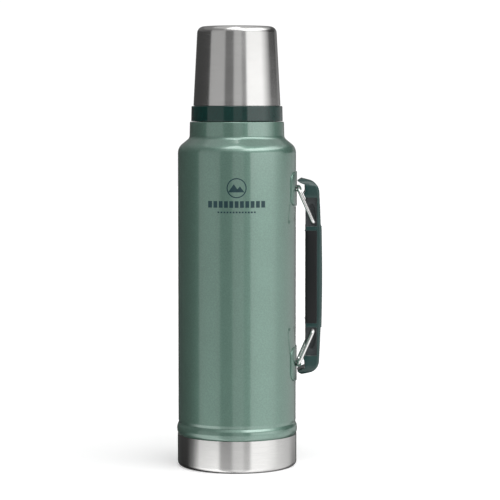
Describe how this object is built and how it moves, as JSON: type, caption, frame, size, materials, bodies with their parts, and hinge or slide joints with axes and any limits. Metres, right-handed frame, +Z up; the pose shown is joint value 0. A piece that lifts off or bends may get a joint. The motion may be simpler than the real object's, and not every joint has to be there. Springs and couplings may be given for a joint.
{
  "type": "vacuum flask",
  "caption": "Green hammertone steel vacuum flask with a brushed steel screw-on cup, a screw stopper and a folding side handle on wire bails.",
  "frame": {"origin": "on the flask's axis, in the plane of the ring that it stands on", "axes": "+Z up along the flask's axis, +X from the axis towards the handle, +Y completes a right-handed frame"},
  "size_m": [0.1205, 0.1002, 0.365],
  "materials": {
    "green_paint": "semi-gloss hammertone",
    "bracket_paint": "semi-gloss",
    "brushed_steel": "brushed",
    "plain_steel": "satin",
    "green_plastic": "gloss",
    "handle_paint": "satin",
    "black_plastic": "satin",
    "rubber": "matte",
    "wire": "polished",
    "silicone": "matte",
    "foam": "matte",
    "foil": "bright",
    "getter": "matte",
    "solder": "dull"
  },
  "bodies": {
    "root": {"outer_shell": "green_paint", "base_cap": "brushed_steel", "vacuum_plate": "plain_steel", "evacuation_seal": "solder", "inner_vessel": "plain_steel", "vessel_floor": "plain_steel", "reflector_foil": "foil", "getter_pellet": "getter", "getter_strap": "plain_steel", "neck_ring": "green_plastic", "upper_bracket": "bracket_paint", "lower_bracket": "bracket_paint"},
    "cup_ring": {"cup_seal": "silicone"},
    "cup": {"cup_shell": "brushed_steel", "cup_liner": "green_plastic", "cup_collar": "green_plastic"},
    "stopper_ring": {"stopper_gasket": "silicone"},
    "stopper": {"stopper_body": "black_plastic", "stopper_cap": "black_plastic", "stopper_foam": "foam"},
    "handle": {"handle_shell": "handle_paint", "handle_core": "black_plastic", "grip_pad": "rubber"},
    "upper_wire": {"upper_bail": "wire"},
    "lower_wire": {"lower_bail": "wire"}
  },
  "joints": [
    {"name": "cup_lift", "type": "slide", "parent": "root", "child": "cup_ring", "axis": [0, 0, 1], "range_m": [0, 0.0541]},
    {"name": "cup_turn", "type": "hinge", "parent": "cup_ring", "child": "cup", "pos_m": [0, 0, 0.3065], "axis": [0, 0, 1], "range_deg": [0, 2160]},
    {"name": "stopper_lift", "type": "slide", "parent": "root", "child": "stopper_ring", "axis": [0, 0, 1], "range_m": [0, 0.01501]},
    {"name": "stopper_turn", "type": "hinge", "parent": "stopper_ring", "child": "stopper", "pos_m": [0, 0, 0.2855], "axis": [0, 0, 1], "range_deg": [0, 1080]},
    {"name": "handle_pull", "type": "slide", "parent": "root", "child": "handle", "axis": [1, 0, 0], "range_m": [0, 0.016]},
    {"name": "upper_bail_swing", "type": "hinge", "parent": "root", "child": "upper_wire", "pos_m": [0.0508, 0, 0.231], "axis": [0, -1, 0], "range_deg": [0, 38.01]},
    {"name": "lower_bail_swing", "type": "hinge", "parent": "root", "child": "lower_wire", "pos_m": [0.0508, 0, 0.0858], "axis": [0, 1, 0], "range_deg": [0, 38.01]}
  ],
  "couplings": [
    {"joint": "cup_lift", "follows": "cup_turn", "m_per_rad": 0.0014324},
    {"joint": "stopper_lift", "follows": "stopper_turn", "m_per_rad": 0.00079577},
    {"joint": "upper_bail_swing", "follows": "handle_pull", "rad_per_m": 41.452},
    {"joint": "lower_bail_swing", "follows": "handle_pull", "rad_per_m": 41.452}
  ]
}
